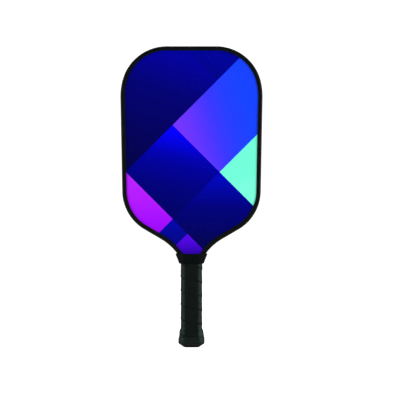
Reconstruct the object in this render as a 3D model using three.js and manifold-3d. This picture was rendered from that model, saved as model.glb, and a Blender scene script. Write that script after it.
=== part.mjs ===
// A pickleball paddle, built as it is made: a honeycomb blade between two printed skins, an edge
// guard sprung round it, and a handle of two pallets on the blade's tang, closed by a butt cap,
// wound with a cushion grip and finished by tape under a rubber collar.
//
// Millimetres. The paddle stands on its butt: the origin is the centre of the butt's flat end, +Z
// runs up the handle to the head, +X is to the right and the front face looks towards -Y.

import * as THREE from "three";
import { mergeVertices } from "three/addons/utils/BufferGeometryUtils.js";
import Module from "manifold-3d";

const wasm = await Module();
wasm.setup();

// ---------------------------------------------------------------- driving dimensions

const clearance = 0.3; // between pieces that fit in or over each other

// The outline of the edge guard, as tangent arcs and straight runs. Angles are in degrees.
const paddleLength = 406.4;
const headWidth = 192.3; // at the widest place
const cornerRadius = 62;
const cornerTurn = 76; // how far the tight corner arc turns before the wide one takes over
const cheekRadius = 85; // the wide arc between the corner and the side
const sideTaper = 1.1; // each side leans in by this towards the handle
const shoulderRadius = 60.7;
const throatAngle = 59.7; // the straight run from shoulder to throat, from vertical
const throatRadius = 73.4; // the hollow arc that runs down to the handle
const throatHeight = 82.4; // where the hollow arc would turn vertical
const throatHalfWidth = 5.05; // and its half width there
const outlineSteps = { corner: 14, cheek: 3, shoulder: 10, throat: 6 };

// The blade: a honeycomb sheet, a fibre veil on each side of it and a skin on each veil.
const coreThickness = 13;
const scrimThickness = 0.2;
const faceThickness = 0.6;
const cellPitch = 15; // between the centres of neighbouring cells
const cellWall = 1.2;
const coreRim = 1.5; // solid margin kept round the cells

// The edge guard, a U-shaped strip.
const guardWall = 1.5; // across the blade's edge
const guardLipWidth = 6.3; // how far its lips reach in over the faces, from the outer edge
const guardLipThickness = 1.2;
const guardRounding = 1.5;

// The handle. The grip's section is an octagon, measured over the wrap.
const gripWidth = 29;
const gripDepth = 30;
const gripBevel = 4.9; // each leg of the 45 degree bevels
const wrapThickness = 1.7;
const tangFoot = 3.3; // the lower end of the tang and the pallets, inside the cap
const palletDrop = 1; // the pallets' tops, below the collar's upper edge
const palletChamfer = 3; // each leg of the chamfer on their tops

// The butt cap, wider than the grip by these amounts on every side.
const capFloor = 3;
const capTop = 14.5; // where its bare knob ends and its sleeve goes in under the wrap
const sleeveTop = 19.2;
const flareTop = 24; // where the wrap is back to the grip's own section
const flareAtCap = 2.1;
const flareAtSleeveTop = 1.5;
const capBulge = 3.3;
const capBulgeFoot = 7; // the knob is widest between these two heights
const capBulgeHead = 11;
const capChamferWidth = 8; // the knob's chamfer, in from its widest and up from the flat end
const capChamferHeight = 5.5;
const capChamferEdge = 0.3; // the knob still grows by this above its chamfer
const badgeRadius = 7.5;
const badgeThickness = 1.2;

// The staple that holds the wrap's first turn to the cap's sleeve.
const stapleHeight = 17;
const stapleCrown = 9;
const stapleWire = 0.7;
const stapleLeg = 5;

// The finishing tape and the rubber collar.
const tapeThickness = 0.25;
const tapeInset = 0.8; // how far the collar's lower edge reaches below the tape
const collarBottom = 112.6;
const collarHeight = 13.8;
const collarWall = 1.2;
const collarLip = 0.8; // the height of the rounded edges, top and bottom
const collarFlareStart = 5.4; // the collar's cavity opens out above this height in it

// ---------------------------------------------------------------- sizes that follow

const bladeHalf = coreThickness / 2 + scrimThickness + faceThickness;
const guardHalf = bladeHalf + guardLipThickness;
const bladeInset = guardWall + clearance; // the blade's edge, in from the guard's outline
const palletInset = wrapThickness + clearance; // the pallets' surface, in from the grip's
const tangHalf = gripWidth / 2 - palletInset;
const palletHalf = gripDepth / 2 - palletInset;
const collarTop = collarBottom + collarHeight;
const guardTail = collarTop - collarFlareStart; // the guard's two ends, hidden in the collar
const wrapTop = guardTail - clearance;

// ---------------------------------------------------------------- geometry helpers

const rad = THREE.MathUtils.degToRad;

function toSolid(geometry) {
  const bare = geometry.clone();
  bare.deleteAttribute("normal");
  bare.deleteAttribute("uv");
  const merged = mergeVertices(bare, 1e-5);
  const vertProperties = new Float32Array(merged.attributes.position.array);
  const triVerts = new Uint32Array(merged.index.array);
  return new wasm.Manifold(new wasm.Mesh({ numProp: 3, vertProperties, triVerts }));
}

function toGeometry(solid) {
  const mesh = solid.getMesh();
  const geometry = new THREE.BufferGeometry();
  geometry.setAttribute("position", new THREE.BufferAttribute(mesh.vertProperties, 3));
  geometry.setIndex(new THREE.BufferAttribute(mesh.triVerts, 1));
  return geometry;
}

function subtract(geometry, ...cutters) {
  return toGeometry(cutters.reduce((left, cutter) => left.subtract(toSolid(cutter)), toSolid(geometry)));
}

// A block between two corners.
function block(x0, x1, y0, y1, z0, z1) {
  const box = new THREE.BoxGeometry(x1 - x0, y1 - y0, z1 - z0);
  return box.translate((x0 + x1) / 2, (y0 + y1) / 2, (z0 + z1) / 2);
}

// A shape drawn in X and Z, as a plate that starts at y and is as thick as given.
function plate(shape, y, thickness, options = {}) {
  const settings = { depth: thickness, bevelEnabled: false, ...options };
  const geometry = new THREE.ExtrudeGeometry(shape, settings);
  return geometry.rotateX(Math.PI / 2).translate(0, y + thickness, 0);
}

// A closed solid through a stack of sections with the same number of points, lowest first.
function loft(levels) {
  const count = levels[0].section.length;
  const positions = levels.flatMap(({ z, section }) => section.flatMap((p) => [p.x, p.y, z]));
  const index = [];
  for (let level = 0; level < levels.length - 1; level++) {
    for (let i = 0; i < count; i++) {
      const a = level * count + i;
      const b = level * count + ((i + 1) % count);
      index.push(a, b, b + count, a, b + count, a + count);
    }
  }
  const last = (levels.length - 1) * count;
  for (let i = 1; i < count - 1; i++) {
    index.push(0, i + 1, i);
    index.push(last, last + i, last + i + 1);
  }
  const geometry = new THREE.BufferGeometry();
  geometry.setAttribute("position", new THREE.Float32BufferAttribute(positions, 3));
  geometry.setIndex(index);
  return geometry;
}

// An octagon: its half width and half depth, and the half lengths of its front and side flats.
function octagon(halfWidth, halfDepth, frontFlat, sideFlat) {
  const quarter = [[halfWidth, sideFlat], [frontFlat, halfDepth]];
  const points = quarter.map(([x, y]) => new THREE.Vector2(x, y));
  const left = quarter.map(([x, y]) => new THREE.Vector2(-x, y)).reverse();
  const back = [...points, ...left];
  return [...back, ...back.map((p) => p.clone().negate())];
}

// The grip's octagon, grown outwards on every face.
function gripSection(grow) {
  const halfWidth = gripWidth / 2 + grow;
  const halfDepth = gripDepth / 2 + grow;
  const flatGrowth = grow * Math.tan(rad(22.5)) - gripBevel;
  return octagon(halfWidth, halfDepth, gripWidth / 2 + flatGrowth, gripDepth / 2 + flatGrowth);
}

// ---------------------------------------------------------------- the outline

function arcPoints(centre, radius, from, to, steps) {
  return Array.from({ length: steps + 1 }, (_, i) => {
    const angle = rad(from + ((to - from) * i) / steps);
    return new THREE.Vector2(centre.x + radius * Math.cos(angle), centre.y + radius * Math.sin(angle));
  });
}

// The arcs' centres. The flat top and the straight run to the throat take up whatever length is
// left, so the outline keeps closing when a size changes.
const centres = (() => {
  const turn = rad(90 - cornerTurn);
  const cornerReach = cornerRadius * Math.cos(turn) + cheekRadius * (1 - Math.cos(turn));
  const topFlat = headWidth / 2 - cornerReach;
  const corner = new THREE.Vector2(topFlat, paddleLength - cornerRadius);
  const step = cornerRadius - cheekRadius;
  const cheek = new THREE.Vector2(corner.x + step * Math.cos(turn), corner.y + step * Math.sin(turn));
  const throat = new THREE.Vector2(throatHalfWidth + throatRadius, throatHeight);

  // The shoulder arc touches both the side and the straight run, so its centre lies where their
  // parallels, one shoulder radius inside them, cross.
  const sideNormal = new THREE.Vector2(Math.cos(rad(sideTaper)), -Math.sin(rad(sideTaper)));
  const runNormal = new THREE.Vector2(Math.cos(rad(throatAngle)), -Math.sin(rad(throatAngle)));
  const sideReach = cheek.dot(sideNormal) + cheekRadius - shoulderRadius;
  const runReach = throat.dot(runNormal) - throatRadius - shoulderRadius;
  const cross = sideNormal.x * runNormal.y - sideNormal.y * runNormal.x;
  const shoulder = new THREE.Vector2(
    (sideReach * runNormal.y - runReach * sideNormal.y) / cross,
    (sideNormal.x * runReach - runNormal.x * sideReach) / cross,
  );
  return { corner, cheek, shoulder, throat };
})();

// Half the width of the throat at a height, for an outline moved in by inset.
function throatHalf(z, inset) {
  const radius = throatRadius + inset;
  return centres.throat.x - Math.sqrt(radius ** 2 - (z - centres.throat.y) ** 2);
}

// The outline from the top to a height in the throat, moved in by inset, as a closed list of
// points. The foot is a list of [half width, height] corners that goes on from there.
function outline(inset, tail, foot = []) {
  const hollow = throatRadius + inset;
  const end = 180 - THREE.MathUtils.radToDeg(Math.asin((tail - centres.throat.y) / hollow));
  const { corner, cheek, shoulder, throat } = outlineSteps;
  const right = [
    ...arcPoints(centres.corner, cornerRadius - inset, 90, 90 - cornerTurn, corner),
    ...arcPoints(centres.cheek, cheekRadius - inset, 90 - cornerTurn, -sideTaper, cheek).slice(1),
    ...arcPoints(centres.shoulder, shoulderRadius - inset, -sideTaper, -throatAngle, shoulder),
    ...arcPoints(centres.throat, hollow, 180 - throatAngle, end, throat),
    ...foot.map(([x, z]) => new THREE.Vector2(x, z)),
  ];
  const left = right.map((p) => new THREE.Vector2(-p.x, p.y)).reverse();
  return [...right, ...left];
}

// ---------------------------------------------------------------- the model

const paddle = new THREE.Group();
paddle.name = "pickleball_paddle";

function add(name, geometry, color, roughness, metalness = 0) {
  const material = new THREE.MeshStandardMaterial({ color, roughness, metalness });
  material.name = name;
  const mesh = new THREE.Mesh(geometry, material);
  mesh.name = name;
  paddle.add(mesh);
}

// The blade's layers share one outline. Below the guard's ends it steps in to the tang.
const bladePoints = outline(bladeInset, guardTail, [[tangHalf, guardTail], [tangHalf, tangFoot]]);

function insideBlade(point, rim) {
  const points = outline(bladeInset + rim, guardTail, [
    [tangHalf - rim, guardTail],
    [tangHalf - rim, tangFoot + rim],
  ]);
  let inside = false;
  points.forEach((a, i) => {
    const b = points[(i + 1) % points.length];
    const crosses = a.y > point.y !== b.y > point.y;
    if (crosses && point.x < a.x + ((b.x - a.x) * (point.y - a.y)) / (b.y - a.y)) inside = !inside;
  });
  return inside;
}

// The honeycomb core: hexagonal cells right through the sheet, wherever a whole cell fits.
function honeycombCore() {
  const shape = new THREE.Shape(bladePoints);
  const rowHeight = cellPitch * Math.cos(rad(30));
  const cellRadius = (cellPitch - cellWall) / Math.sqrt(3);
  const rows = Math.ceil(paddleLength / rowHeight);
  const columns = Math.ceil(headWidth / 2 / cellPitch);
  for (let row = 1; row <= rows; row++) {
    for (let column = -columns; column <= columns; column++) {
      const centre = new THREE.Vector2(cellPitch * (column + (row % 2) / 2), rowHeight * row);
      const cell = arcPoints(centre, cellRadius, 30, 330, 5);
      if (cell.every((corner) => insideBlade(corner, coreRim))) shape.holes.push(new THREE.Path(cell));
    }
  }
  return plate(shape, -coreThickness / 2, coreThickness);
}

add("honeycomb_core", honeycombCore(), "#d9dcd8", 0.6);

const bladeShape = new THREE.Shape(bladePoints);
const coreHalf = coreThickness / 2;
add("scrim_front", plate(bladeShape, -coreHalf - scrimThickness, scrimThickness), "#e8e6df", 0.9);
add("scrim_back", plate(bladeShape, coreHalf, scrimThickness), "#e8e6df", 0.9);
add("face_front", plate(bladeShape, -bladeHalf, faceThickness), "#0a08a8", 0.4);
add("face_back", plate(bladeShape, bladeHalf - faceThickness, faceThickness), "#0a08a8", 0.4);

// The edge guard: a rounded rim, with the blade's edge cut out as a channel and a window left
// between the lips on both faces. It is open at the throat, where both its ends are cut square.
function edgeGuard() {
  const below = guardTail - 4;
  const rounding = {
    bevelEnabled: true,
    bevelThickness: guardRounding,
    bevelSize: guardRounding,
    bevelOffset: -guardRounding,
    bevelSegments: 2,
  };
  const thickness = 2 * (guardHalf - guardRounding);
  const rim = plate(new THREE.Shape(outline(0, below)), -thickness / 2, thickness, rounding);
  const channel = plate(new THREE.Shape(outline(guardWall, below)), -bladeHalf, 2 * bladeHalf);
  const window = plate(new THREE.Shape(outline(guardLipWidth, below)), -2 * guardHalf, 4 * guardHalf);
  const reach = headWidth / 2;
  const square = block(-reach, reach, -reach, reach, 0, guardTail);
  return subtract(rim, channel, window, square);
}

add("edge_guard", edgeGuard(), "#0d1411", 0.45);

// The staple lies flat under the wrap, on the back of the cap's sleeve, with its legs in the
// pallet. The same block, grown by the clearance, is its seat in the three pieces round it.
const stapleOuter = gripDepth / 2 + flareAtSleeveTop - wrapThickness + clearance;

function stapleBlocks(grow) {
  const half = stapleWire / 2 + grow;
  const z0 = stapleHeight - half;
  const z1 = stapleHeight + half;
  const y1 = stapleOuter + grow;
  const crownHalf = stapleCrown / 2 + grow;
  const crown = block(-crownHalf, crownHalf, stapleOuter - stapleWire - grow, y1, z0, z1);
  const legs = [-1, 1].map((side) => {
    const x = (side * (stapleCrown - stapleWire)) / 2;
    return block(x - half, x + half, stapleOuter - stapleLeg - grow, y1, z0, z1);
  });
  return [crown, ...legs];
}

const [stapleTop, ...stapleLegs] = stapleBlocks(0);
const staple = stapleLegs.reduce((whole, leg) => whole.add(toSolid(leg)), toSolid(stapleTop));
add("wrap_staple", toGeometry(staple), "#b9bcbf", 0.35, 1);

// One pallet glued to each side of the tang. Its top is a narrow tongue between the guard's lips,
// chamfered towards the blade.
function pallet(side) {
  const tip = collarTop - palletDrop;
  const blank = loft([tangFoot, tip].map((z) => ({ z, section: gripSection(-palletInset) })));
  const wide = gripWidth;
  const tongueHalf = throatHalf(guardTail, guardLipWidth) - clearance;
  const inner = side > 0 ? [-wide, bladeHalf] : [-bladeHalf, wide];
  const cutters = [
    block(-wide, wide, inner[0], inner[1], tangFoot - 1, tip + 1),
    block(tongueHalf, wide, -wide, wide, wrapTop, tip + 1),
    block(-wide, -tongueHalf, -wide, wide, wrapTop, tip + 1),
  ];
  const chamfer = new THREE.Shape([
    new THREE.Vector2(palletHalf + 1, tip - palletChamfer - 1),
    new THREE.Vector2(palletHalf + 1, tip + 1),
    new THREE.Vector2(palletHalf - palletChamfer - 1, tip + 1),
  ]);
  const wedge = new THREE.ExtrudeGeometry(chamfer, { depth: 2 * wide, bevelEnabled: false });
  wedge.rotateX(Math.PI / 2).rotateZ(Math.PI / 2).translate(-wide, 0, 0);
  if (side < 0) wedge.rotateZ(Math.PI);
  cutters.push(wedge);
  if (side > 0) cutters.push(...stapleBlocks(clearance));
  return subtract(blank, ...cutters);
}

add("pallet_front", pallet(-1), "#3a3d40", 0.85);
add("pallet_back", pallet(1), "#3a3d40", 0.85);

// The butt cap: an octagonal knob with a thin sleeve that the wrap starts on, hollow inside for
// the tang and the pallets, and with a round seat for the end badge.
function buttCap() {
  const chamferTop = capBulge - capChamferEdge;
  const flares = [
    [0, chamferTop - capChamferWidth],
    [capChamferHeight, chamferTop],
    [capBulgeFoot, capBulge],
    [capBulgeHead, capBulge],
    [capTop - clearance, flareAtCap],
    [capTop - clearance, flareAtCap - palletInset],
    [sleeveTop, flareAtSleeveTop - palletInset],
  ];
  const body = loft(flares.map(([z, grow]) => ({ z, section: gripSection(grow) })));
  const hollow = loft(
    [capFloor, sleeveTop + 1].map((z) => ({ z, section: gripSection(clearance - palletInset) })),
  );
  const seat = new THREE.CylinderGeometry(
    badgeRadius + clearance,
    badgeRadius + clearance,
    2 * badgeThickness,
    48,
  );
  return subtract(body, hollow, seat.rotateX(Math.PI / 2), ...stapleBlocks(clearance));
}

add("butt_cap", buttCap(), "#14191a", 0.6);

const badge = new THREE.CylinderGeometry(badgeRadius, badgeRadius, badgeThickness, 48);
badge.rotateX(Math.PI / 2).translate(0, 0, badgeThickness / 2);
add("butt_badge", badge, "#0c0f10", 0.4);

// The cushion wrap, as the sleeve that its overlapped turns make. It thickens nothing: it only
// follows the cap's sleeve outwards at the butt.
function gripWrap() {
  const outer = loft(
    [
      [capTop, flareAtCap],
      [sleeveTop, flareAtSleeveTop],
      [flareTop, 0],
      [wrapTop, 0],
    ].map(([z, grow]) => ({ z, section: gripSection(grow) })),
  );
  const sleeveEnd = sleeveTop + clearance;
  const flareSlope = (flareAtCap - flareAtSleeveTop) / (sleeveTop - capTop);
  const inner = loft(
    [
      [capTop - 1, flareAtCap + flareSlope],
      [sleeveEnd, flareAtSleeveTop - flareSlope * clearance],
      [sleeveEnd, 0],
      [wrapTop + 1, 0],
    ].map(([z, grow]) => ({ z, section: gripSection(grow - wrapThickness) })),
  );
  return subtract(outer, inner, ...stapleBlocks(clearance));
}

add("grip_wrap", gripWrap(), "#1a1f1e", 0.7);

// The finishing tape, a turn of vinyl round the wrap's end.
function finishingTape() {
  const low = collarBottom + tapeInset;
  const high = wrapTop - clearance;
  const ring = (grow, z0, z1) => loft([z0, z1].map((z) => ({ z, section: gripSection(grow) })));
  return subtract(ring(clearance + tapeThickness, low, high), ring(clearance, low - 1, high + 1));
}

add("finishing_tape", finishingTape(), "#101314", 0.35);

// The rubber collar. Its cavity is straight enough to slide down over the tape and the wrap, and
// opens out at the top to take the guard's two ends.
function collar() {
  const cavity = gripSection(2 * clearance + tapeThickness);
  const [side, front] = cavity;
  const mouthHalf = throatHalf(collarTop, 0) + 2 * clearance; // twice, as the guard slopes here
  const mouthSide = Math.max(side.y, guardHalf + clearance);
  const mouth = octagon(mouthHalf, front.y, front.x, mouthSide);
  const openFrom = collarBottom + collarFlareStart;
  const along = (share) => THREE.MathUtils.lerp(side.x, mouthHalf, share);
  const tailShare = (guardTail - openFrom) / (collarTop - openFrom);
  const tailHalf = Math.max(along(tailShare), throatHalf(guardTail, 0) + 2 * clearance);
  const tailSide = THREE.MathUtils.lerp(side.y, mouthSide, tailShare);
  const hollow = loft([
    { z: collarBottom - 1, section: cavity },
    { z: openFrom, section: cavity },
    { z: guardTail, section: octagon(tailHalf, front.y, front.x, tailSide) },
    { z: collarTop, section: mouth },
    { z: collarTop + 1, section: mouth },
  ]);
  const skin = (z, halfWidth, wall) => ({
    z,
    section: octagon(halfWidth + wall, front.y + wall, front.x + wall / 2, mouthSide + wall / 2),
  });
  const outer = loft([
    skin(collarBottom, side.x, collarWall / 3),
    skin(collarBottom + collarLip, side.x, collarWall),
    skin(openFrom, along(0.36), collarWall),
    skin(collarTop - collarLip, mouthHalf, collarWall),
    skin(collarTop, mouthHalf, collarWall * 0.85),
  ]);
  return subtract(outer, hollow);
}

add("collar", collar(), "#0f1616", 0.55);

export default paddle;
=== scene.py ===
"""A pickleball paddle: the finished look of its blade, edge guard, wrapped handle and collar."""

from math import ceil, cos, pi, radians, sin, sqrt

import bpy
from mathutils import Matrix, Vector


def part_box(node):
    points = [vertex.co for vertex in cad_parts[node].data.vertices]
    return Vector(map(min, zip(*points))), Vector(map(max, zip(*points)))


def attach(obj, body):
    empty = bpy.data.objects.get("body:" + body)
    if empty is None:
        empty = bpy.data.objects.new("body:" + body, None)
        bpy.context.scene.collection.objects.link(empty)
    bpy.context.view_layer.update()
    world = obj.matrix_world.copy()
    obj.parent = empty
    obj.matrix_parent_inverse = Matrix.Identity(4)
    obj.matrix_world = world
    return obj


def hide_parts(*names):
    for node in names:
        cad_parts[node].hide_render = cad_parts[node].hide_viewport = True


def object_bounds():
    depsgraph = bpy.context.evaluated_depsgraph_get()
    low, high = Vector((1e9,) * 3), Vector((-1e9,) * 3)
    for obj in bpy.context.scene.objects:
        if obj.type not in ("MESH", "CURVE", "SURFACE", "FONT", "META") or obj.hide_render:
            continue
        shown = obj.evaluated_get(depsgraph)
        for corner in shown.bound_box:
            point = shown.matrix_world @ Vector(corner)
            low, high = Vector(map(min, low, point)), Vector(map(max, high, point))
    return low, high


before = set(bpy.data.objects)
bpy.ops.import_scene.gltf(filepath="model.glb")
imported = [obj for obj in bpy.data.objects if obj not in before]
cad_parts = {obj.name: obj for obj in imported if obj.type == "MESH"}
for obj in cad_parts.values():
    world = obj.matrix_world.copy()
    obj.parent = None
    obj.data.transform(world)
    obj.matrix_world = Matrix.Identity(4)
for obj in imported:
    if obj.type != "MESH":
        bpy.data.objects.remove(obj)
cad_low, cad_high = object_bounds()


# ---------------------------------------------------------------- The core and its veils
# The blade's middle is a sheet of extruded polypropylene honeycomb. A polyester veil is bonded to
# each side of it, because resin holds on polyester and not on polypropylene. All three are hidden
# in the finished paddle.

MM = 0.001
CORE_MILKY = "#C9CDC6"
CORE_SHADE = "#AEB5AC"
WELD_LINE = 1.6 * MM  # between the streaks that extrusion leaves along the cells
WELD_STRETCH = 0.15  # how much slower the streaks change along the cells than across them
CORE_RELIEF = 0.05 * MM
CORE_DEPTH = 2 * MM  # how far light gets into the waxy plastic
VEIL_LIGHT = "#E4E1D8"
VEIL_DARK = "#B5B0A2"
VEIL_FIBRE = 0.4 * MM  # a tuft of fibres; a single one is too fine to show
VEIL_RELIEF = 0.05 * MM


def linear(colour):
    """A hex sRGB colour as linear red, green, blue and alpha."""
    parts = [int(colour[i : i + 2], 16) / 255 for i in (1, 3, 5)]
    parts = [c / 12.92 if c <= 0.04045 else ((c + 0.055) / 1.055) ** 2.4 for c in parts]
    return (*parts, 1.0)


def add(tree, kind, inputs=None, **settings):
    """Adds a node with its settings. Each input is a value, or the output that is linked to it."""
    node = tree.nodes.new("ShaderNode" + kind)
    for name, value in settings.items():
        setattr(node, name, value)
    for socket, source in (inputs or {}).items():
        if isinstance(source, bpy.types.NodeSocket):
            tree.links.new(source, node.inputs[socket])
        else:
            node.inputs[socket].default_value = source
    return node


def begin(name):
    """A new material, its empty node tree and the object's own coordinates in metres."""
    material = bpy.data.materials.new(name)
    material.use_nodes = True
    material.node_tree.nodes.clear()
    return material, material.node_tree, add(material.node_tree, "TexCoord").outputs["Object"]


def dress(node, material):
    """Gives a carried-over solid its finish."""
    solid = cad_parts[node]
    solid.data.materials.clear()
    solid.data.materials.append(material)


# Natural polypropylene, extruded: waxy, a little see-through, streaked along its cells.
polypropylene, tree, place = begin("natural_polypropylene_extruded")
along = add(tree, "Mapping", {"Vector": place, "Scale": (1, WELD_STRETCH, 1)}).outputs[0]
streaks = add(tree, "TexNoise", {"Vector": along, "Scale": 1 / WELD_LINE, "Detail": 2}).outputs[0]
tones = {0: streaks, 6: linear(CORE_SHADE), 7: linear(CORE_MILKY)}
tone = add(tree, "Mix", tones, data_type="RGBA").outputs[2]
bump = add(tree, "Bump", {"Height": streaks, "Distance": CORE_RELIEF, "Strength": 0.4}).outputs[0]
inputs = {"Base Color": tone, "Normal": bump, "Roughness": 0.45, "IOR": 1.49}
waxy = {"Subsurface Weight": 0.2, "Subsurface Scale": CORE_DEPTH}
surface = add(tree, "BsdfPrincipled", {**inputs, **waxy})
add(tree, "OutputMaterial", {"Surface": surface.outputs[0]})
dress("honeycomb_core", polypropylene)

# Spun polyester veil, wetted with resin: a felt of fine fibres that lie every way.
polyester, tree, place = begin("polyester_veil_resin_wetted")
curled = {"Vector": place, "Scale": 1 / VEIL_FIBRE, "Detail": 3, "Distortion": 2.5}
fibres = add(tree, "TexNoise", curled).outputs[0]
tones = {0: fibres, 6: linear(VEIL_DARK), 7: linear(VEIL_LIGHT)}
tone = add(tree, "Mix", tones, data_type="RGBA").outputs[2]
bump = add(tree, "Bump", {"Height": fibres, "Distance": VEIL_RELIEF, "Strength": 0.7}).outputs[0]
inputs = {"Base Color": tone, "Normal": bump, "Roughness": 0.8, "IOR": 1.52}
surface = add(tree, "BsdfPrincipled", inputs)
add(tree, "OutputMaterial", {"Surface": surface.outputs[0]})
dress("scrim_front", polyester)
dress("scrim_back", polyester)


# ---------------------------------------------------------------- The printed faces
# Each face is a thin fibre skin with a print under a satin, finely gritty clear coat. The print is
# cut by six straight lines at 45 degrees into panels, and each panel fades along its own slope.

# Where a 45 degree line crosses the centre line, in mm above the butt. Falling lines run down to
# the left and rising ones run up to the left.
FALLING = {"upper": 325.0, "middle": 198.2, "lower": 158.4}
RISING = {"top": 395.0, "upper": 274.3, "lower": 147.6}
BEYOND = 1000.0  # no line: the panel goes on to the edge

# Each panel's fade: the slope that it runs along, as (x, z), and its colours at distances in mm on
# that slope.
NAVY = (
    (0.33, 1),
    ((220, "#030249"), (275, "#03025D"), (335, "#030273"), (385, "#03029B")),
)
NAVY_DIM = (
    (0.33, 1),
    ((370, "#020284"), (400, "#010496")),
)
VIOLET_TO_BLUE = (
    (1, 0.3),
    ((75, "#7234FC"), (110, "#4D35FD"), (125, "#3738FD"), (145, "#243EFE"), (170, "#1843FF")),
)
BLUE_TO_NAVY = (
    (0.21, 1),
    ((180, "#010168"), (210, "#010179"), (240, "#010198"), (255, "#0101B0"), (285, "#0301F9")),
)
MINT = (
    (-0.38, 1),
    ((190, "#7AFFDB"), (205, "#72FFD7")),
)
DEEP_BLUE = (
    (0.05, 1),
    ((140, "#020252"), (190, "#010179"), (215, "#0104A1"), (230, "#0206BC")),
)
MAGENTA = (
    (0, 1),
    ((158, "#9909F2"), (170, "#A10DFC"), (200, "#B11AFD"), (225, "#B522FC")),
)
ROYAL = (
    (0, 1),
    ((145, "#02058A"), (158, "#020697"), (168, "#0405AA")),
)
VIOLET = (
    (0, 1),
    ((129, "#3703BF"), (138, "#4702D2"), (147, "#5205E2")),
)

# Each panel lies below a falling and a rising line, and covers the ones listed before it there.
PANELS = (
    (BEYOND, BEYOND, NAVY_DIM),
    (BEYOND, RISING["top"], NAVY),
    (FALLING["upper"], BEYOND, VIOLET_TO_BLUE),
    (FALLING["upper"], RISING["upper"], BLUE_TO_NAVY),
    (FALLING["middle"], BEYOND, MINT),
    (FALLING["middle"], RISING["upper"], DEEP_BLUE),
    (FALLING["upper"], RISING["lower"], MAGENTA),
    (FALLING["middle"], RISING["lower"], ROYAL),
    (FALLING["lower"], RISING["lower"], VIOLET),
)
COAT_GRIT = 0.9 * MM  # real grit is about 0.15 mm; drawn coarser, so that it shows
GRIT_SHARE = 0.5  # of the relief, against the bundles
FIBRE_BUNDLE = 2.2 * MM  # the woven bundles that print through the coat as a faint relief
COAT_RELIEF = 0.03 * MM


def fade(tree, x, z, slope, stops):
    """A panel's colour: its fade along a slope, through colours at distances in mm."""
    across = add(tree, "Math", {0: x, 1: slope[0]}, operation="MULTIPLY").outputs[0]
    up = {0: z, 1: slope[1], 2: across}
    distance = add(tree, "Math", up, operation="MULTIPLY_ADD").outputs[0]
    first, last = stops[0][0], stops[-1][0]
    span = {"Value": distance, "From Min": first, "From Max": last}
    ramp = add(tree, "ValToRGB", {"Fac": add(tree, "MapRange", span).outputs[0]})
    colours = ramp.color_ramp.elements
    for at, colour in stops[1:-1]:
        colours.new((at - first) / (last - first)).color = linear(colour)
    colours[0].color = linear(stops[0][1])
    colours[len(colours) - 1].color = linear(stops[-1][1])
    return ramp.outputs[0]


def printed_skin(name, side):
    """The print on one face. Side is 1, or -1 to turn it round for the back."""
    material, tree, place = begin(name)
    spots = add(tree, "Mapping", {"Vector": place, "Scale": (side / MM, 1 / MM, 1 / MM)}).outputs[0]
    x, _, z = add(tree, "SeparateXYZ", {0: spots}).outputs
    falling = add(tree, "Math", {0: z, 1: x}, operation="SUBTRACT").outputs[0]
    rising = add(tree, "Math", {0: z, 1: x}, operation="ADD").outputs[0]
    colour = None
    for below_falling, below_rising, (slope, stops) in PANELS:
        own = fade(tree, x, z, slope, stops)
        if colour is None:
            colour = own
            continue
        left = add(tree, "Math", {0: falling, 1: below_falling}, operation="LESS_THAN").outputs[0]
        right = add(tree, "Math", {0: rising, 1: below_rising}, operation="LESS_THAN").outputs[0]
        inside = add(tree, "Math", {0: left, 1: right}, operation="MULTIPLY").outputs[0]
        colour = add(tree, "Mix", {0: inside, 6: colour, 7: own}, data_type="RGBA").outputs[2]

    grit = add(tree, "TexNoise", {"Vector": place, "Scale": 1 / COAT_GRIT, "Detail": 1}).outputs[0]
    weave = {"Vector": place, "Scale": 1 / FIBRE_BUNDLE, "Detail": 1}
    cloth = add(tree, "TexNoise", weave).outputs[0]
    both = {0: grit, 1: GRIT_SHARE, 2: cloth}
    relief = add(tree, "Math", both, operation="MULTIPLY_ADD").outputs[0]
    raised = {"Height": relief, "Distance": COAT_RELIEF, "Strength": 0.04}
    bump = add(tree, "Bump", raised).outputs[0]
    gloss = {"Value": cloth, "To Min": 0.22, "To Max": 0.3}
    roughness = add(tree, "MapRange", gloss).outputs[0]
    inputs = {"Base Color": colour, "Normal": bump, "Roughness": roughness, "IOR": 1.5}
    surface = add(tree, "BsdfPrincipled", {**inputs, "Specular IOR Level": 0.1})
    add(tree, "OutputMaterial", {"Surface": surface.outputs[0]})
    return material


# Fibre skin, printed and clear coated: deep flat colour, a satin sheen and a fine tooth.
dress("face_front", printed_skin("printed_fibre_skin_satin_coat_front", 1))
dress("face_back", printed_skin("printed_fibre_skin_satin_coat_back", -1))


# ---------------------------------------------------------------- The edge guard
# A U-shaped strip of black thermoplastic, extruded straight, then sprung round the blade's edge
# and bonded. Its profile is traced once and carried round half the outline, arc by arc, then
# mirrored. Both ends go in under the collar.

GUARD_LIP = 6.3 * MM  # how far the lips reach in over the faces
GUARD_SHELL = 1.18 * MM
GUARD_CORNER = 1.6 * MM  # how round the corners between lip and wall are
GUARD_CORNER_TURN = radians(80)
GUARD_WALL_TURN = radians(20)  # the wall between the two corners is slightly crowned
GUARD_ARRIS = 0.35 * MM  # how round the lips' own edges are
CORNER_RADIUS = 62 * MM
CORNER_TURN = radians(76)
CHEEK_RADIUS = 85 * MM
SIDE_TAPER = radians(1.1)
SHOULDER_RADIUS = 60.7 * MM
THROAT_ANGLE = radians(59.7)
THROAT_RADIUS = 73.4 * MM
THROAT_FOOT = Vector((5.05 * MM, 0, 82.4 * MM))  # where the hollow arc would turn vertical
TINY = 0.01 * MM  # nearer than this counts as the same place
GUARD_BLACK = "#040706"
GUARD_WORN = "#0A0E0C"
GUARD_GRAIN = 0.45 * MM  # real grain is about 0.1 mm; drawn coarser, so that it shows
GUARD_SCUFF = 14 * MM  # across a dulled patch
GUARD_RELIEF = 0.03 * MM


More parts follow.
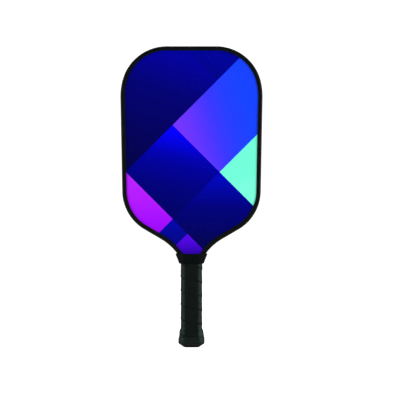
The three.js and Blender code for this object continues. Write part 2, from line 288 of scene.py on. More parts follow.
def pick(piece, kind, wanted):
    """In edit mode, selects only the vertices, edges or faces whose corners all pass the test."""
    bpy.ops.object.mode_set(mode="EDIT")
    bpy.ops.mesh.select_mode(type=kind)
    bpy.ops.mesh.select_all(action="DESELECT")
    bpy.ops.object.mode_set(mode="OBJECT")
    mesh = piece.data
    for item in {"VERT": mesh.vertices, "EDGE": mesh.edges, "FACE": mesh.polygons}[kind]:
        ids = [item.index] if kind == "VERT" else item.vertices
        item.select = all(wanted(mesh.vertices[i].co) for i in ids)
    bpy.ops.object.mode_set(mode="EDIT")


def modify(piece, kind, **settings):
    """Adds a modifier and applies it."""
    bpy.ops.object.mode_set(mode="OBJECT")
    modifier = piece.modifiers.new(kind, kind)
    for name, value in settings.items():
        setattr(modifier, name, value)
    bpy.ops.object.modifier_apply(modifier=modifier.name)


def start(name):
    """Names the primitive that was just added and fixes its place and size in its mesh."""
    piece = bpy.context.object
    piece.name = piece.data.name = name
    bpy.ops.object.transform_apply(location=True, rotation=True, scale=True)
    return piece


def close(piece, material, body, node, smooth=35):
    """Shades a finished piece, gives it its material and body, and hides the solid that it stands for.
    """
    bpy.ops.object.mode_set(mode="OBJECT")
    bpy.ops.object.shade_smooth_by_angle(angle=radians(smooth))
    piece.data.materials.clear()
    piece.data.materials.append(material)
    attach(piece, body)
    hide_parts(node)
    piece.select_set(False)


def trace(move):
    """Draws the profile on from its last point."""
    bpy.ops.mesh.extrude_vertices_move(TRANSFORM_OT_translate={"value": move})


def sweep(move):
    """Carries what is selected along, and leaves a wall behind it."""
    bpy.ops.mesh.extrude_region_move(TRANSFORM_OT_translate={"value": move})


def turn_profile(centre, turn, steps):
    """Spins what is selected about an axis along Y, clockwise as seen from the front."""
    bpy.ops.mesh.spin(steps=steps, angle=-turn, center=centre, axis=(0, 1, 0))


bpy.ops.object.select_all(action="DESELECT")
guard_low, guard_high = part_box("edge_guard")
guard_top = guard_high[2]
guard_half = guard_high[1]

# The outline's arc centres, from the guard's own width and height.
rest_turn = pi / 2 - CORNER_TURN
corner_reach = CORNER_RADIUS * cos(rest_turn) + CHEEK_RADIUS * (1 - cos(rest_turn))
corner_centre = Vector((guard_high[0] - corner_reach, 0, guard_top - CORNER_RADIUS))
step = Vector((cos(rest_turn), 0, sin(rest_turn)))
cheek_centre = corner_centre - (CHEEK_RADIUS - CORNER_RADIUS) * step
throat_centre = THROAT_FOOT + Vector((THROAT_RADIUS, 0, 0))
side_normal = Vector((cos(SIDE_TAPER), 0, -sin(SIDE_TAPER)))
run_normal = Vector((cos(THROAT_ANGLE), 0, -sin(THROAT_ANGLE)))
side_reach = cheek_centre.dot(side_normal) + CHEEK_RADIUS - SHOULDER_RADIUS
run_reach = throat_centre.dot(run_normal) - THROAT_RADIUS - SHOULDER_RADIUS
cross = side_normal.x * run_normal.z - side_normal.z * run_normal.x
shoulder_centre = Vector((
    (side_reach * run_normal.z - run_reach * side_normal.z) / cross,
    0,
    (side_normal.x * run_reach - run_normal.x * side_reach) / cross,
))

# The profile, from the front lip's edge over the wall to the back lip's edge.
corner_rise = GUARD_CORNER * (1 - cos(GUARD_CORNER_TURN))
wall_radius = (guard_half - corner_rise) / sin(GUARD_WALL_TURN / 2)
crown = wall_radius * (1 - cos(GUARD_WALL_TURN / 2))
corner_start = crown + GUARD_CORNER * sin(GUARD_CORNER_TURN)
bpy.ops.mesh.primitive_plane_add(size=MM, location=(0, -guard_half, guard_top - GUARD_LIP))
guard = start("edge_guard_strip")
bpy.ops.object.mode_set(mode="EDIT")
bpy.ops.mesh.merge(type="CENTER")
trace((0, 0, GUARD_LIP - corner_start))
for y in (GUARD_CORNER - guard_half, guard_half - GUARD_CORNER):
    corner = {"steps": 7, "angle": GUARD_CORNER_TURN, "axis": (1, 0, 0)}
    bpy.ops.mesh.spin(center=(0, y, guard_top - corner_start), **corner)
    if y < 0:
        wall = {"steps": 8, "angle": GUARD_WALL_TURN, "axis": (1, 0, 0)}
        bpy.ops.mesh.spin(center=(0, 0, guard_top - wall_radius), **wall)
trace((0, 0, corner_start - GUARD_LIP))

# Half the outline: the top, the corner, the cheek, the side, the shoulder, the run, the throat.
bpy.ops.mesh.select_all(action="SELECT")
sweep((corner_centre.x, 0, 0))
turn_profile(corner_centre, CORNER_TURN, steps=30)
turn_profile(cheek_centre, rest_turn + SIDE_TAPER, steps=7)
sweep(shoulder_centre + SHOULDER_RADIUS * side_normal - cheek_centre - CHEEK_RADIUS * side_normal)
turn_profile(shoulder_centre, THROAT_ANGLE - SIDE_TAPER, steps=24)
run_end = throat_centre - THROAT_RADIUS * run_normal
sweep(run_end - shoulder_centre - SHOULDER_RADIUS * run_normal)
turn_profile(throat_centre, -THROAT_ANGLE, steps=40)
bpy.ops.mesh.select_all(action="SELECT")
tail = {"plane_co": (0, 0, guard_low[2]), "plane_no": (0, 0, 1), "clear_inner": True}
bpy.ops.mesh.bisect(**tail)
modify(guard, "MIRROR", merge_threshold=TINY)
bpy.ops.object.mode_set(mode="EDIT")
bpy.ops.mesh.select_all(action="SELECT")
bpy.ops.mesh.remove_doubles(threshold=TINY)
bpy.ops.mesh.normals_make_consistent(inside=False)
modify(guard, "SOLIDIFY", thickness=GUARD_SHELL, offset=-1, use_even_offset=True)
modify(guard, "BEVEL", width=GUARD_ARRIS, segments=2, limit_method="ANGLE", angle_limit=radians(50))

# Black thermoplastic, extruded: soft satin with a fine grain, dulled a little in patches.
thermoplastic, tree, place = begin("black_thermoplastic_extruded")
grain = add(tree, "TexNoise", {"Vector": place, "Scale": 1 / GUARD_GRAIN, "Detail": 2}).outputs[0]
scuffs = {"Vector": place, "Scale": 1 / GUARD_SCUFF, "Detail": 5, "Roughness": 0.65}
dulled = add(tree, "TexNoise", scuffs).outputs[0]
worn = {"Value": dulled, "From Min": 0.5, "From Max": 0.72}
patches = add(tree, "MapRange", worn).outputs[0]
tones = {0: patches, 6: linear(GUARD_BLACK), 7: linear(GUARD_WORN)}
tone = add(tree, "Mix", tones, data_type="RGBA").outputs[2]
matte = {"Value": dulled, "From Min": 0.3, "From Max": 0.7, "To Min": 0.38, "To Max": 0.48}
roughness = add(tree, "MapRange", matte).outputs[0]
bump = add(tree, "Bump", {"Height": grain, "Distance": GUARD_RELIEF, "Strength": 0.4}).outputs[0]
inputs = {"Base Color": tone, "Normal": bump, "Roughness": roughness, "IOR": 1.5}
surface = add(tree, "BsdfPrincipled", {**inputs, "Specular IOR Level": 0.12})
add(tree, "OutputMaterial", {"Surface": surface.outputs[0]})
close(guard, thermoplastic, "paddle", "edge_guard")


# ---------------------------------------------------------------- The pallets
# Two pallets of rigid foam are glued to the sides of the tang and give the handle its depth. Only
# their tops show, inside the collar's mouth.

FOAM_SKIN = "#191B1D"
# Painted shade at the bottom of each open cell
FOAM_PIT_SHADE = "#0F1011"
FOAM_CELL_SIZE = 0.7 * MM
FOAM_RELIEF = 0.1 * MM

# Rigid polyurethane foam, moulded: a dry charcoal skin, with painted shade in its small open cells.
foam, tree, place = begin("polyurethane_foam_moulded")
cells = add(tree, "TexVoronoi", {"Vector": place, "Scale": 1 / FOAM_CELL_SIZE}).outputs["Distance"]
tones = {0: cells, 6: linear(FOAM_PIT_SHADE), 7: linear(FOAM_SKIN)}
tone = add(tree, "Mix", tones, data_type="RGBA").outputs[2]
bump = add(tree, "Bump", {"Height": cells, "Distance": FOAM_RELIEF, "Strength": 0.8}).outputs[0]
inputs = {"Base Color": tone, "Normal": bump, "Roughness": 0.9, "IOR": 1.45}
surface = add(tree, "BsdfPrincipled", {**inputs, "Specular IOR Level": 0.2})
add(tree, "OutputMaterial", {"Surface": surface.outputs[0]})
dress("pallet_front", foam)
dress("pallet_back", foam)


# ---------------------------------------------------------------- The butt cap and its badge
# A moulded cap closes the handle: an octagonal knob, chamfered to a flat end, with a thin sleeve
# that goes in under the wrap. A plain round badge is pressed flush into its end.

CAP_NECK = 14.2 * MM  # where the bare knob ends and the sleeve starts
CAP_NECK_HALF = (17.25 * MM, 17.75 * MM)
CAP_NECK_LEG = 6.3 * MM  # each leg of its 45 degree corners, at the neck and lower down
CAP_LEG = 6.8 * MM
CAP_CHAMFER = 5.5 * MM  # its top, above the flat end
CAP_SHOULDER = 11.8 * MM  # where it starts to draw in to the neck
CAP_END_HALF = (9.5 * MM, 10 * MM)
CAP_END_LEG = 2.0 * MM
CAP_ROUNDING = 1.4 * MM
CAP_STEP = 2.0 * MM  # from the knob's neck in to the sleeve
CAP_SLEEVE_WALL = 1.3 * MM
CAP_FLOOR = 3 * MM  # how thick its closed end is
BADGE_SEAT = 7.8 * MM
BADGE_RADIUS = 7.5 * MM
BADGE_THICK = 1.2 * MM
BADGE_RIM = 0.9 * MM
BADGE_SLOPE = 0.4 * MM  # from the rim in to the sunk middle
BADGE_SUNK = 0.25 * MM
BADGE_ARRIS = 0.12 * MM
CAP_BLACK = "#0C1110"
CAP_DULL = "#131918"
CAP_SHEEN = "#C4F4E0"
CAP_SPARK = 0.6 * MM  # a real pebble is about 0.15 mm; drawn coarser, so that it shows
CAP_CLOUD = 9 * MM  # across a patch of slightly different sheen
CAP_RELIEF = 0.06 * MM
BADGE_BLACK = "#0A0D0E"
BADGE_RUB = 6 * MM


def size_ring(piece, height, half, front_flat, side_flat):
    """Resizes an octagonal ring of eight corners: the front and back flats, then the side flats."""
    ring = [v.co for v in piece.data.vertices if abs(v.co.z - height) < TINY]
    wide = max(abs(co.x) for co in ring)
    deep = max(abs(co.y) for co in ring)
    flat_x = max(abs(co.x) for co in ring if abs(abs(co.y) - deep) < TINY)
    flat_y = max(abs(co.y) for co in ring if abs(abs(co.x) - wide) < TINY)
    pick(piece, "VERT", lambda co: abs(co.z - height) < TINY and abs(abs(co.y) - deep) < TINY)
    bpy.ops.transform.resize(value=(front_flat / flat_x, half[1] / deep, 1))
    pick(piece, "VERT", lambda co: abs(co.z - height) < TINY and abs(abs(co.x) - wide) < TINY)
    bpy.ops.transform.resize(value=(half[0] / wide, side_flat / flat_y, 1))
    bpy.ops.object.mode_set(mode="OBJECT")


def pick_uprights(piece):
    """In edit mode, selects the edges that go from one level to another."""
    bpy.ops.object.mode_set(mode="EDIT")
    bpy.ops.mesh.select_mode(type="EDGE")
    bpy.ops.mesh.select_all(action="DESELECT")
    bpy.ops.object.mode_set(mode="OBJECT")
    mesh = piece.data
    for edge in mesh.edges:
        low, high = (mesh.vertices[i].co.z for i in edge.vertices)
        edge.select = abs(low - high) > TINY
    bpy.ops.object.mode_set(mode="EDIT")


def octagon_block(name, low, high, half, leg, cuts=()):
    """An upright block with 45 degree corners, cut across at some heights."""
    size = (2 * half[0], 2 * half[1], high - low)
    bpy.ops.mesh.primitive_cube_add(size=1, location=(0, 0, (low + high) / 2), scale=size)
    piece = start(name)
    pick_uprights(piece)
    bpy.ops.mesh.bevel(offset=leg, segments=1)
    for height in cuts:
        bpy.ops.mesh.select_all(action="SELECT")
        bpy.ops.mesh.bisect(plane_co=(0, 0, height), plane_no=(0, 0, 1))
    bpy.ops.object.mode_set(mode="OBJECT")
    return piece


def open_ends(piece, *heights):
    """Takes away the flat faces that lie at these heights."""
    for height in heights:
        pick(piece, "FACE", lambda co: abs(co.z - height) < TINY)
        bpy.ops.mesh.delete(type="ONLY_FACE")
    bpy.ops.object.mode_set(mode="OBJECT")


bpy.ops.object.select_all(action="DESELECT")
cap_low, cap_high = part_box("butt_cap")
knob_half = (cap_high[0], cap_high[1])
cuts = (CAP_CHAMFER, CAP_SHOULDER)
cap = octagon_block("butt_cap_moulded", cap_low[2], CAP_NECK, knob_half, CAP_LEG, cuts)
neck_flats = [half - CAP_NECK_LEG for half in CAP_NECK_HALF]
end_flats = [half - CAP_END_LEG for half in CAP_END_HALF]
size_ring(cap, CAP_NECK, CAP_NECK_HALF, *neck_flats)
size_ring(cap, cap_low[2], CAP_END_HALF, *end_flats)
modify(cap, "BEVEL", width=CAP_ROUNDING, segments=4, limit_method="ANGLE", angle_limit=radians(8))
pick(cap, "FACE", lambda co: co.z > CAP_NECK - TINY)
bpy.ops.mesh.inset(thickness=CAP_STEP)
sweep((0, 0, cap_high[2] - CAP_NECK))
bpy.ops.mesh.inset(thickness=CAP_SLEEVE_WALL)
sweep((0, 0, CAP_FLOOR - cap_high[2]))
bpy.ops.object.mode_set(mode="OBJECT")
seat_size = {"vertices": 96, "radius": BADGE_SEAT, "depth": 2 * BADGE_THICK}
bpy.ops.object.select_all(action="DESELECT")
bpy.ops.mesh.primitive_cylinder_add(location=(0, 0, 0), **seat_size)
seat = bpy.context.object
bpy.context.view_layer.objects.active = cap
modify(cap, "BOOLEAN", object=seat, operation="DIFFERENCE", solver="EXACT")
bpy.data.objects.remove(seat)
cap.select_set(True)

# Black thermoplastic, moulded in a spark-eroded tool: an even fine pebble and a low sheen.
moulded, tree, place = begin("black_thermoplastic_moulded")
pebble = add(tree, "TexNoise", {"Vector": place, "Scale": 1 / CAP_SPARK, "Detail": 2}).outputs[0]
clouds = add(tree, "TexNoise", {"Vector": place, "Scale": 1 / CAP_CLOUD, "Detail": 3}).outputs[0]
tones = {0: clouds, 6: linear(CAP_BLACK), 7: linear(CAP_DULL)}
tone = add(tree, "Mix", tones, data_type="RGBA").outputs[2]
matte = {"Value": clouds, "From Min": 0.3, "From Max": 0.7, "To Min": 0.4, "To Max": 0.5}
roughness = add(tree, "MapRange", matte).outputs[0]
bump = add(tree, "Bump", {"Height": pebble, "Distance": CAP_RELIEF, "Strength": 0.6}).outputs[0]
inputs = {"Base Color": tone, "Normal": bump, "Roughness": roughness, "IOR": 1.5}
gloss = {"Specular IOR Level": 0.15, "Specular Tint": linear(CAP_SHEEN)}
surface = add(tree, "BsdfPrincipled", {**inputs, **gloss})
add(tree, "OutputMaterial", {"Surface": surface.outputs[0]})
close(cap, moulded, "paddle", "butt_cap")

bpy.ops.object.select_all(action="DESELECT")
disc = {"vertices": 96, "radius": BADGE_RADIUS, "depth": BADGE_THICK}
bpy.ops.mesh.primitive_cylinder_add(location=(0, 0, BADGE_THICK / 2), **disc)
badge = start("butt_badge_blank")
pick(badge, "FACE", lambda co: co.z < TINY)
bpy.ops.mesh.inset(thickness=BADGE_RIM)
bpy.ops.mesh.inset(thickness=BADGE_SLOPE)
bpy.ops.transform.translate(value=(0, 0, BADGE_SUNK))
modify(badge, "BEVEL", width=BADGE_ARRIS, segments=2, limit_method="ANGLE", angle_limit=radians(30))

# Black acrylic, polished: a plain disc, glossy, with fine circular rub marks.
acrylic, tree, place = begin("black_acrylic_polished")
rings = {"Vector": place, "Scale": 1 / BADGE_RUB, "Distortion": 0.5}
rubs = add(tree, "TexWave", rings, wave_type="RINGS", rings_direction="Z").outputs["Fac"]
gloss = add(tree, "MapRange", {"Value": rubs, "To Min": 0.14, "To Max": 0.24}).outputs[0]
inputs = {"Base Color": linear(BADGE_BLACK), "Roughness": gloss, "IOR": 1.49}
surface = add(tree, "BsdfPrincipled", inputs)
add(tree, "OutputMaterial", {"Surface": surface.outputs[0]})
close(badge, acrylic, "paddle", "butt_badge")


# ---------------------------------------------------------------- The staple
# A wire staple ties the wrap's first turn to the butt cap's sleeve, before the rest is wound. The
# next turns hide it.

ZINC_LIGHT = "#B9BCBF"
ZINC_DARK = "#83878B"
ZINC_CLOUD = 0.8 * MM

# Steel wire, galvanised: grey metal, clouded by its zinc.
wire, tree, place = begin("steel_wire_galvanised")
clouds = add(tree, "TexNoise", {"Vector": place, "Scale": 1 / ZINC_CLOUD, "Detail": 4}).outputs[0]
tones = {0: clouds, 6: linear(ZINC_DARK), 7: linear(ZINC_LIGHT)}
tone = add(tree, "Mix", tones, data_type="RGBA").outputs[2]
inputs = {"Base Color": tone, "Metallic": 1.0, "Roughness": 0.4}
surface = add(tree, "BsdfPrincipled", inputs)
add(tree, "OutputMaterial", {"Surface": surface.outputs[0]})
dress("wrap_staple", wire)


# ---------------------------------------------------------------- The cushion wrap
# One long strip of polyurethane leather on a cushion backing is wound up the handle from the butt.
# Each turn covers the last one's upper margin, and both ends are cut to finish level. It is a flat
# grid, rolled into the strip's closed section and then wound round the octagon.

WRAP_PITCH = 18.9 * MM  # between one turn's lower edge and the next
WRAP_OVERLAP = 5.0 * MM
WRAP_SEAM = 72.0 * MM  # the height of a seam on the front's centre line
WRAP_WIDTH = WRAP_PITCH + WRAP_OVERLAP
WRAP_BODY = 1.5 * MM  # the strip's thickness, and at its skived lower and upper edges
WRAP_LOWER_EDGE = 0.75 * MM
WRAP_UPPER_EDGE = 0.5 * MM
WRAP_RISE = 0.3 * MM  # how far a seam's edge stands proud of the grip's own size
WRAP_ROUND = 2.3 * MM  # the grip's ridges, softened by the cushion
WRAP_UNDER_TAPE = 0.55 * MM  # how far inside the tape's surface the grip's own size lies

# Across the strip, from its lower edge: how far its outside lies from the grip's own size, and
# how thick it is there.
STRIP_OUT = (
    (0.0, -0.45 * MM),
    (0.15 * MM, -0.1 * MM),
    (0.4 * MM, 0.2 * MM),
    (0.9 * MM, WRAP_RISE),
    (2.2 * MM, WRAP_RISE),
    (6.0 * MM, 0.02 * MM),
    (11 * MM, -0.06 * MM),
    (17 * MM, -0.16 * MM),
    (18.5 * MM, -0.48 * MM),
    (WRAP_WIDTH, -0.55 * MM),
)
STRIP_THICK = (
    (0.0, WRAP_LOWER_EDGE),
    (2.5 * MM, WRAP_LOWER_EDGE),
    (7.0 * MM, WRAP_BODY),
    (17 * MM, WRAP_BODY),
    (WRAP_WIDTH, WRAP_UPPER_EDGE),
)

# Up from the butt: how far the wrap stands out where it rides over the knob's flare.
FLARE = (
    (14.5 * MM, 2.5 * MM),
    (19.2 * MM, 1.9 * MM),
    (22.4 * MM, 1.45 * MM),
    (24.8 * MM, 0.0),
)
GRIP_LEG = 4.9 * MM  # each leg of the grip's 45 degree corners
WRAP_STATIONS = 72  # along one turn
WRAP_RIBS = 22  # across the strip, on its face and on its back
WRAP_EDGE_RIBS = 0.85  # from 0, evenly spread, to 1, close together at the edges
WRAP_BLACK = "#060908"
WRAP_GREY = "#0B0F0E"
# Painted shade: the colour that the seams, each turn's lower edge and the holes are darkened to
WRAP_PAINTED_SHADE = "#060908"
WRAP_SHEEN = "#C8F6E2"
WRAP_SHADE_FROM = 16.8 * MM  # where painted shade starts to darken the strip towards the next turn's edge
WRAP_SHADE_TO = 18.7 * MM
WRAP_EDGE_SHADE = 1.0 * MM  # painted shade darkens the strip's own lower edge over this width
WRAP_SHADE_DULL = 0.4  # how much rougher it is in there
WRAP_GRAIN = 0.9 * MM  # the leather-like pebble; real grain is about half this, too fine to show
WRAP_TOOTH = 0.4 * MM  # a finer roughness between the pebbles
WRAP_TOOTH_SHARE = 0.35  # of a pebble's height
WRAP_HOLE_FLOOR = 0.27 * MM  # a punched hole's radius at its bottom and at its brim
WRAP_HOLE_BRIM = 0.585 * MM
WRAP_HOLE_PITCH = 3.0 * MM
WRAP_HOLE_DEPTH = 1.2  # against a pebble's height
WRAP_RELIEF = 0.12 * MM
WRAP_RUB = 11 * MM  # across a patch that hands have rubbed


def grip_octagon(half, leg, rounding, arc_steps=5):
    """The grip's rounded section: points and outward normals, anticlockwise from the front's middle."""
    x, y = half[0] - rounding, half[1] - rounding
    bite = leg - rounding * (2 - sqrt(2))
    right = [(x - bite, -y), (x, bite - y), (x, y - bite), (x - bite, y)]
    centres = right + [(-a, b) for a, b in reversed(right)]
    points = [(Vector((0, -half[1])), Vector((0, -1)))]
    for i, centre in enumerate(centres):
        for step in range(arc_steps + 1):
            angle = radians(45 * (i + step / arc_steps) - 90)
            normal = Vector((cos(angle), sin(angle)))
            points.append((Vector(centre) + rounding * normal, normal))
    points.append(points[0])
    return points


def perimeter(points):
    """How long the way round is."""
    return sum((b[0] - a[0]).length for a, b in zip(points, points[1:]))


def walk(points, share):
    """The point and normal at a share of the way round."""
    left = (share % 1.0) * perimeter(points)
    for a, b in zip(points, points[1:]):
        length = (b[0] - a[0]).length
        if left <= length:
            mix = left / length if length else 0.0
            return a[0].lerp(b[0], mix), a[1].lerp(b[1], mix).normalized()
        left -= length
    return points[-1]


def along_curve(curve, at):
    """A value read off a broken line, held at both ends."""
    for (a, low), (b, high) in zip(curve, curve[1:]):
        if at <= b:
            return low + (high - low) * max(0.0, at - a) / (b - a)
    return curve[-1][1]


bpy.ops.object.select_all(action="DESELECT")
wrap_low, wrap_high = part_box("grip_wrap")
tape_low, tape_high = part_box("finishing_tape")
grip_half = [side - WRAP_UNDER_TAPE for side in tape_high[:2]]
wrap_bottom, wrap_top = wrap_low[2], wrap_high[2]
section = grip_octagon(grip_half, GRIP_LEG, WRAP_ROUND)
turns = (wrap_top - wrap_bottom + WRAP_WIDTH) / WRAP_PITCH
turn_length = perimeter(section)
lowest_seam = wrap_bottom - WRAP_WIDTH
seam_turns = (WRAP_SEAM - lowest_seam) / WRAP_PITCH  # from the start of the strip to that seam
stations = ceil(turns * WRAP_STATIONS)
grid = {"x_subdivisions": stations, "y_subdivisions": 2 * WRAP_RIBS}
bpy.ops.mesh.primitive_grid_add(size=1, **grid)
wrap = start("grip_wrap_strip")
on_strip = []  # each vertex's place on the flat strip, along it and across it
for vertex in wrap.data.vertices:
    wound = turns * (vertex.co.x + 0.5)
    seam = lowest_seam + WRAP_PITCH * wound
    low_edge = max(0.0, wrap_bottom - seam)
    high_edge = min(WRAP_WIDTH, wrap_top - seam)
    round_it = vertex.co.y + 0.5  # out along the strip's face and home along its back
    share = 1 - abs(2 * round_it - 1)
    eased = share - WRAP_EDGE_RIBS * sin(2 * pi * share) / (2 * pi)
    across = low_edge + (high_edge - low_edge) * eased
    to_edge = min(across - low_edge, high_edge - across)
    out = along_curve(STRIP_OUT, across)
    if round_it > 0.5:
        full = along_curve(STRIP_THICK, across)
        out -= full * sqrt(min(1.0, to_edge / (full / 2)))
    height = seam + across
    point, normal = walk(section, seam_turns - wound)
    point = point + (out + along_curve(FLARE, height)) * normal
    vertex.co = (point.x, point.y, height)
    on_strip.append((wound * turn_length, across))
flat = wrap.data.uv_layers.active
flat_name = flat.name
for corner, spot in zip(wrap.data.loops, flat.uv):
    spot.vector = on_strip[corner.vertex_index]
bpy.ops.object.mode_set(mode="EDIT")
bpy.ops.mesh.select_all(action="SELECT")
bpy.ops.mesh.remove_doubles(threshold=TINY)
bpy.ops.mesh.normals_make_consistent(inside=False)
bpy.ops.object.mode_set(mode="OBJECT")

# Polyurethane leather, embossed and punched: a soft pebble and rows of small holes, with painted
# shade along the seams, along each turn's lower edge and in the holes.
leather, tree, place = begin("polyurethane_leather_punched")
strip = add(tree, "UVMap", uv_map=flat_name).outputs[0]
pebble = {"Vector": strip, "Scale": 1 / WRAP_GRAIN, "Randomness": 0.9}
grain = add(tree, "TexVoronoi", pebble, feature="SMOOTH_F1").outputs["Distance"]
turned = add(tree, "Mapping", {"Vector": strip, "Rotation": (0, 0, pi / 4)}).outputs[0]
rows = {"Vector": turned, "Scale": 1 / WRAP_HOLE_PITCH, "Randomness": 0.0}
from_hole = add(tree, "TexVoronoi", rows, voronoi_dimensions="2D").outputs["Distance"]
pit, brim = WRAP_HOLE_FLOOR / WRAP_HOLE_PITCH, WRAP_HOLE_BRIM / WRAP_HOLE_PITCH
punched = {"Value": from_hole, "From Min": pit, "From Max": brim}
solid = add(tree, "MapRange", punched, interpolation_type="SMOOTHSTEP").outputs[0]
fine = add(tree, "TexNoise", {"Vector": place, "Scale": 1 / WRAP_TOOTH, "Detail": 2}).outputs[0]
coarse = {0: fine, 1: WRAP_TOOTH_SHARE, 2: grain}
uneven = add(tree, "Math", coarse, operation="MULTIPLY_ADD").outputs[0]
pierced = {0: solid, 1: WRAP_HOLE_DEPTH, 2: uneven}
relief = add(tree, "Math", pierced, operation="MULTIPLY_ADD").outputs[0]
bump = add(tree, "Bump", {"Height": relief, "Distance": WRAP_RELIEF, "Strength": 0.5}).outputs[0]
rubbed = add(tree, "TexNoise", {"Vector": place, "Scale": 1 / WRAP_RUB, "Detail": 4}).outputs[0]
# Painted shade: darker just below the next turn's edge, along the strip's own lower edge and in the
# holes, and rougher there too
across = add(tree, "SeparateXYZ", {0: strip}).outputs[1]
crease = {"Value": across, "From Min": WRAP_SHADE_FROM, "From Max": WRAP_SHADE_TO}
shade_under_next_turn = add(tree, "MapRange", crease).outputs[0]
edge_shade_span = {"Value": across, "From Min": WRAP_EDGE_SHADE, "From Max": 0.0, "To Max": 0.35}
rounded = add(tree, "MapRange", edge_shade_span).outputs[0]
seam_shade = add(tree, "Math", {0: shade_under_next_turn, 1: rounded}, operation="MAXIMUM").outputs[0]
hole = add(tree, "Math", {0: 1.0, 1: solid}, operation="SUBTRACT").outputs[0]
dark = add(tree, "Math", {0: seam_shade, 1: hole}, operation="MAXIMUM").outputs[0]
tones = {0: rubbed, 6: linear(WRAP_BLACK), 7: linear(WRAP_GREY)}
open_tone = add(tree, "Mix", tones, data_type="RGBA").outputs[2]
tones = {0: dark, 6: open_tone, 7: linear(WRAP_PAINTED_SHADE)}
tone = add(tree, "Mix", tones, data_type="RGBA").outputs[2]
matte = {"Value": rubbed, "From Min": 0.3, "From Max": 0.7, "To Min": 0.4, "To Max": 0.5}
shine = add(tree, "MapRange", matte).outputs[0]
dull = {0: dark, 1: WRAP_SHADE_DULL, 2: shine}
roughness = add(tree, "Math", dull, operation="MULTIPLY_ADD").outputs[0]
inputs = {"Base Color": tone, "Normal": bump, "Roughness": roughness, "IOR": 1.5}
gloss = {"Specular IOR Level": 0.14, "Specular Tint": linear(WRAP_SHEEN)}
surface = add(tree, "BsdfPrincipled", {**inputs, **gloss})
add(tree, "OutputMaterial", {"Surface": surface.outputs[0]})
close(wrap, leather, "paddle", "grip_wrap", smooth=50)


# ---------------------------------------------------------------- The finishing tape
# One turn of black vinyl tape, stretched tight, holds the wrap's end. The collar covers all of it
# until it is pushed down the handle.

TAPE_THICK = 0.18 * MM
TAPE_LEG = 5.4 * MM  # each leg of its 45 degree corners
TAPE_ROUND = 1.0 * MM
TAPE_BLACK = "#0C0E0F"
TAPE_PULL = 7 * MM  # the length of the creases that stretching leaves along it
TAPE_CREASE = 1.05 * MM  # from one crease to the next
TAPE_RELIEF = 0.15 * MM

bpy.ops.object.select_all(action="DESELECT")
tape_half = [side - TAPE_THICK / 2 for side in tape_high[:2]]
tape = octagon_block("finishing_tape_vinyl", tape_low[2], tape_high[2], tape_half, TAPE_LEG)
pick_uprights(tape)
bpy.ops.mesh.bevel(offset=TAPE_ROUND, segments=4)
open_ends(tape, tape_low[2], tape_high[2])
modify(tape, "SOLIDIFY", thickness=TAPE_THICK, offset=-1)

# Vinyl tape, stretched on: a dense gloss with long shallow creases.
vinyl, tree, place = begin("vinyl_tape_stretched")
slim = TAPE_CREASE / TAPE_PULL
pulled = add(tree, "Mapping", {"Vector": place, "Scale": (slim, slim, 1)}).outputs[0]
creases = {"Vector": pulled, "Scale": 1 / TAPE_CREASE, "Detail": 3}
folds = add(tree, "TexNoise", creases).outputs[0]
bump = add(tree, "Bump", {"Height": folds, "Distance": TAPE_RELIEF, "Strength": 0.4}).outputs[0]
inputs = {"Base Color": linear(TAPE_BLACK), "Normal": bump, "Roughness": 0.25, "IOR": 1.53}
surface = add(tree, "BsdfPrincipled", inputs)
add(tree, "OutputMaterial", {"Surface": surface.outputs[0]})
close(tape, vinyl, "paddle", "finishing_tape")


# ---------------------------------------------------------------- The collar
# A moulded rubber ring, stretched over the wrap's end and the guard's two tails. It widens towards
# the blade, with a rolled lip at the top, and can be pushed down the handle.

COLLAR_WALL = 1.2 * MM
COLLAR_LEG = 6.2 * MM
COLLAR_FRONT_FLAT = 10.6 * MM
COLLAR_SIDE_FLAT = 11.0 * MM
COLLAR_BEAD = 1.4 * MM  # the height of the bead round its lower edge
COLLAR_WAIST = 5.4 * MM  # above its lower edge, where it starts to widen faster
COLLAR_LIP = 1.0 * MM  # the height of the lip round its upper edge
COLLAR_FOOT_HALF = 15.9 * MM  # half its width at its lower edge, above the bead and at the waist
COLLAR_BEAD_HALF = 17.0 * MM
COLLAR_WAIST_HALF = 18.4 * MM
COLLAR_FOOT_DRAW = 0.9 * MM  # how far the front and back draw in at the lower edge
COLLAR_BEAD_DRAW = 0.1 * MM
COLLAR_LIP_DRAW = (0.2 * MM, 0.1 * MM)  # of the sides, and of the front and back, at the top
COLLAR_RIDGE = 2.2 * MM
COLLAR_RIM = 0.5 * MM
COLLAR_BLACK = "#030707"
COLLAR_BLOOM = "#070D0D"
COLLAR_CLOUD = 8 * MM  # across a patch of bloom
COLLAR_SKIN = 0.5 * MM  # the mould's own grain is about 0.1 mm; drawn coarser, so that it shows
COLLAR_RELIEF = 0.04 * MM

bpy.ops.object.select_all(action="DESELECT")
collar_low, collar_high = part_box("collar")
bottom, top = collar_low[2], collar_high[2]
wide, deep = collar_high[:2]
cuts = (bottom + COLLAR_BEAD, bottom + COLLAR_WAIST, top - COLLAR_LIP)
collar = octagon_block("collar_rubber", bottom, top, (wide, deep), COLLAR_LEG, cuts)
levels = (
    (bottom, (COLLAR_FOOT_HALF, deep - COLLAR_FOOT_DRAW)),
    (cuts[0], (COLLAR_BEAD_HALF, deep - COLLAR_BEAD_DRAW)),
    (cuts[1], (COLLAR_WAIST_HALF, deep)),
    (cuts[2], (wide, deep)),
    (top, (wide - COLLAR_LIP_DRAW[0], deep - COLLAR_LIP_DRAW[1])),
)
for height, half in levels:
    size_ring(collar, height, half, COLLAR_FRONT_FLAT, COLLAR_SIDE_FLAT)
pick_uprights(collar)
bpy.ops.mesh.bevel(offset=COLLAR_RIDGE, segments=7)
open_ends(collar, bottom, top)
modify(collar, "SOLIDIFY", thickness=COLLAR_WALL, offset=-1, use_even_offset=True)
modify(collar, "BEVEL", width=COLLAR_RIM, segments=4, limit_method="ANGLE", angle_limit=radians(50))

